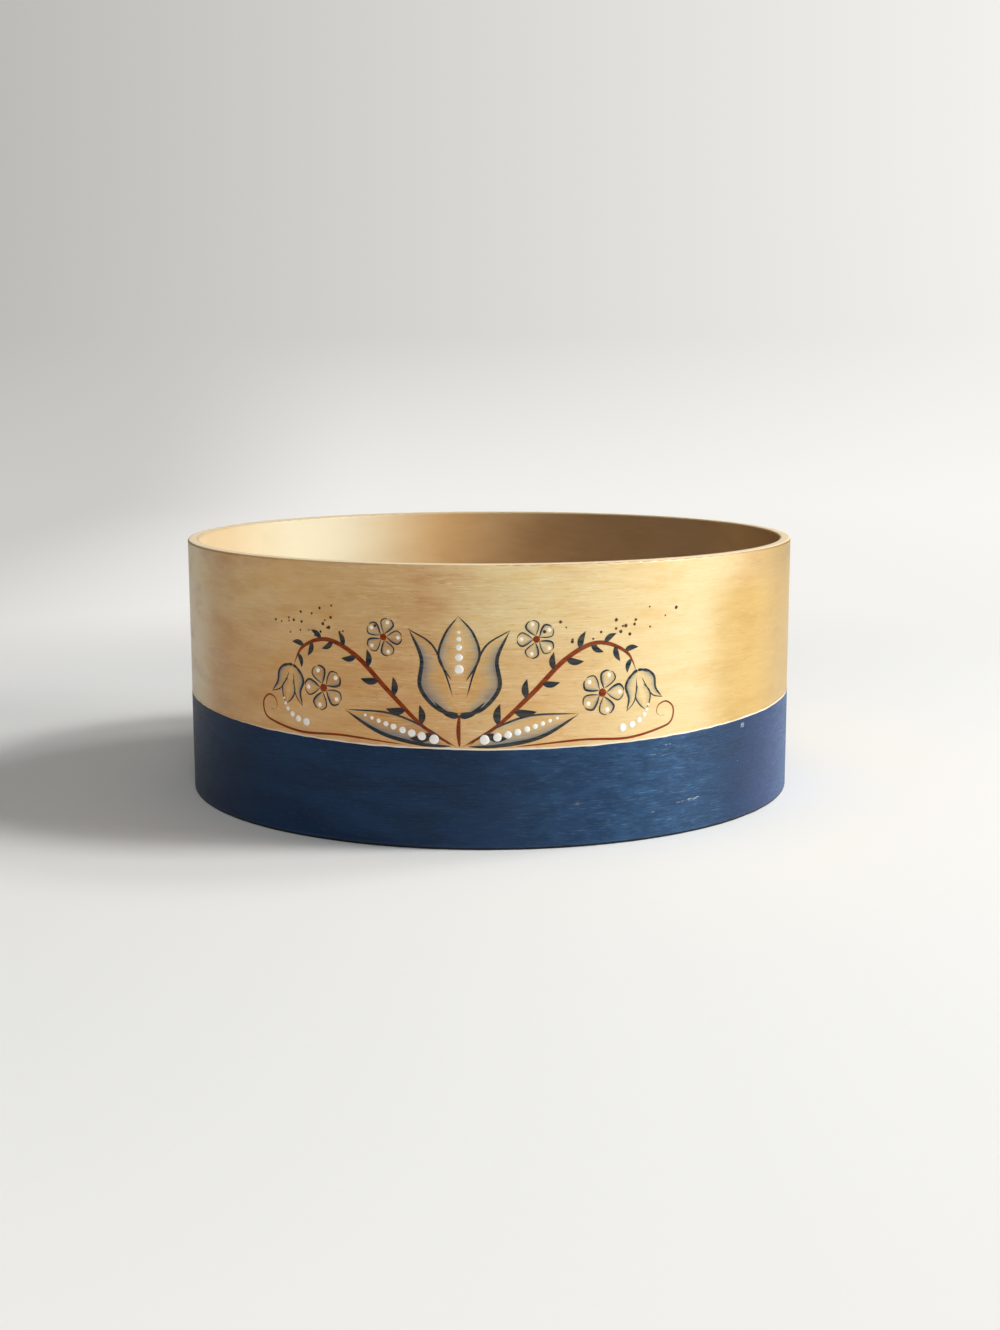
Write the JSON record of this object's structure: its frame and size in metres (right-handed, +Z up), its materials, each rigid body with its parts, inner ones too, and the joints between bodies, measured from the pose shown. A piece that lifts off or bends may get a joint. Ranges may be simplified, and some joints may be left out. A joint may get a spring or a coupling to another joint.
{
  "type": "round wooden box",
  "caption": "Open round bentwood box: a thin lapped and pegged wooden ring around a flat base of dowelled boards, for keeping dry things.",
  "frame": {"origin": "on the floor, at the middle of the box's round foot", "axes": "+Z up along the ring's axis; the decorated front faces -Y, and the lap of the ring is at +X"},
  "size_m": [0.25, 0.25, 0.103],
  "materials": {
    "varnished_birch": "honey-coloured satin varnish, grain running round the ring",
    "bare_pine": "planed and thinly varnished",
    "birch_dowel": "bare",
    "blue_paint": "satin blue paint on wood, brushed along the grain",
    "ornament_paint": "brushed ornament in rust red, slate blue and white"
  },
  "bodies": {
    "root": {"side_band": "varnished_birch", "base_board_front": "bare_pine", "base_board_middle": "bare_pine", "base_board_back": "bare_pine", "base_dowels": "birch_dowel", "base_pegs": "birch_dowel", "lap_pegs": "birch_dowel"}
  },
  "joints": []
}
